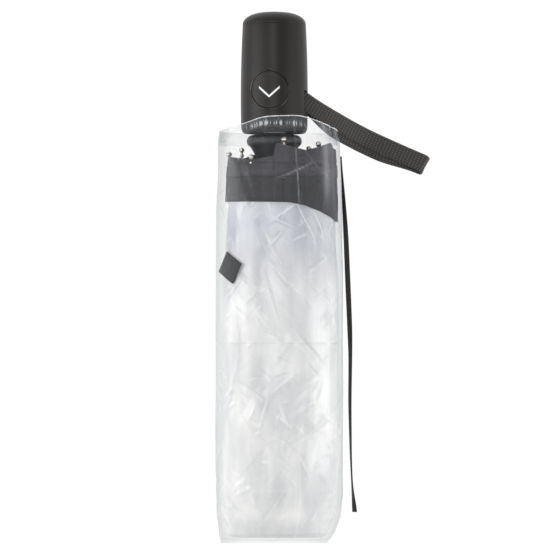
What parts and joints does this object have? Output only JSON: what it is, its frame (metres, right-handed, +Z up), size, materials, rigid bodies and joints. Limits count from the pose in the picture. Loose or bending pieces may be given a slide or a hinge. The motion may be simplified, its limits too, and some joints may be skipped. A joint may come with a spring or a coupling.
{
  "type": "folding umbrella",
  "caption": "Folded compact automatic umbrella with a clear film canopy, black barrel grip, push button and wrist strap, lying in its clear pouch.",
  "frame": {"origin": "on the flat underside of the pouch, level with the middle of the overall length and in line with the shaft's axis seen from above", "axes": "+Y along the shaft towards the grip's end, +Z up from the surface that the umbrella lies on, +X to the side where the wrist strap leaves the grip"},
  "size_m": [0.1218, 0.3, 0.0446],
  "materials": {
    "grip_plastic": "satin soft-touch",
    "button_plastic": "satin",
    "black_moulding": "moulded",
    "chrome_parts": "polished plating",
    "steel_parts": "drawn",
    "rib_steel": "rolled",
    "black_webbing": "woven nylon",
    "border_fabric": "woven polyester",
    "canopy_film": "soft clear film",
    "pouch_film": "soft clear film"
  },
  "bodies": {
    "handle": {"handle_shell": "grip_plastic", "handle_end_cap": "grip_plastic", "handle_core": "black_moulding", "button_rim": "button_plastic", "strap_pin": "steel_parts", "lower_tube": "steel_parts", "button_spring": "steel_parts"},
    "button": {"push_button": "button_plastic"},
    "latch": {"latch_slider": "steel_parts"},
    "wrist_strap": {"wrist_strap": "black_webbing"},
    "middle_tube": {"middle_tube": "steel_parts"},
    "canopy_frame": {"upper_tube": "steel_parts", "main_spring": "steel_parts", "crown": "black_moulding", "top_cap": "chrome_parts", "runner": "black_moulding", "canopy_film": "canopy_film", "canopy_border": "border_fabric", "closure_strap": "canopy_film", "closure_tab": "black_webbing", "inner_rib_1": "rib_steel", "inner_rib_2": "rib_steel", "inner_rib_3": "rib_steel", "inner_rib_4": "rib_steel", "inner_rib_5": "rib_steel", "inner_rib_6": "rib_steel", "inner_rib_7": "rib_steel", "inner_rib_8": "rib_steel", "middle_rib_1": "rib_steel", "middle_rib_2": "rib_steel", "middle_rib_3": "rib_steel", "middle_rib_4": "rib_steel", "middle_rib_5": "rib_steel", "middle_rib_6": "rib_steel", "middle_rib_7": "rib_steel", "middle_rib_8": "rib_steel", "outer_rib_1": "chrome_parts", "outer_rib_2": "chrome_parts", "outer_rib_3": "chrome_parts", "outer_rib_4": "chrome_parts", "outer_rib_5": "chrome_parts", "outer_rib_6": "chrome_parts", "outer_rib_7": "chrome_parts", "outer_rib_8": "chrome_parts", "stretcher_1": "rib_steel", "stretcher_2": "rib_steel", "stretcher_3": "rib_steel", "stretcher_4": "rib_steel", "stretcher_5": "rib_steel", "stretcher_6": "rib_steel", "stretcher_7": "rib_steel", "stretcher_8": "rib_steel"},
    "pouch": {"sleeve_film": "pouch_film", "sleeve_hem": "pouch_film", "sleeve_binding": "black_webbing"}
  },
  "joints": [
    {"name": "shaft_slide", "type": "slide", "parent": "handle", "child": "canopy_frame", "axis": [0, -1, 0], "range_m": [0, 0.29], "deforming": ["main_spring"]},
    {"name": "middle_tube_slide", "type": "slide", "parent": "handle", "child": "middle_tube", "axis": [0, -1, 0], "range_m": [0, 0.145]},
    {"name": "pouch_slide", "type": "slide", "parent": "canopy_frame", "child": "pouch", "axis": [0, -1, 0], "range_m": [0, 0.3]},
    {"name": "button_press", "type": "slide", "parent": "handle", "child": "button", "axis": [0.1564, 0, -0.9877], "range_m": [0, 0.0025], "stiffness_N_per_m": 800, "springref_m": -0.001, "deforming": ["button_spring"]},
    {"name": "latch_slide", "type": "slide", "parent": "handle", "child": "latch", "axis": [0, -1, 0], "range_m": [0, 0.001]},
    {"name": "strap_swing", "type": "hinge", "parent": "handle", "child": "wrist_strap", "pos_m": [0.0124, 0.1035, 0.0224], "axis": [-0.4648, -0.8854, 0], "range_deg": [0, 40]}
  ],
  "couplings": [
    {"joint": "middle_tube_slide", "follows": "shaft_slide", "ratio": 0.5},
    {"joint": "latch_slide", "follows": "button_press", "ratio": 0.4}
  ]
}
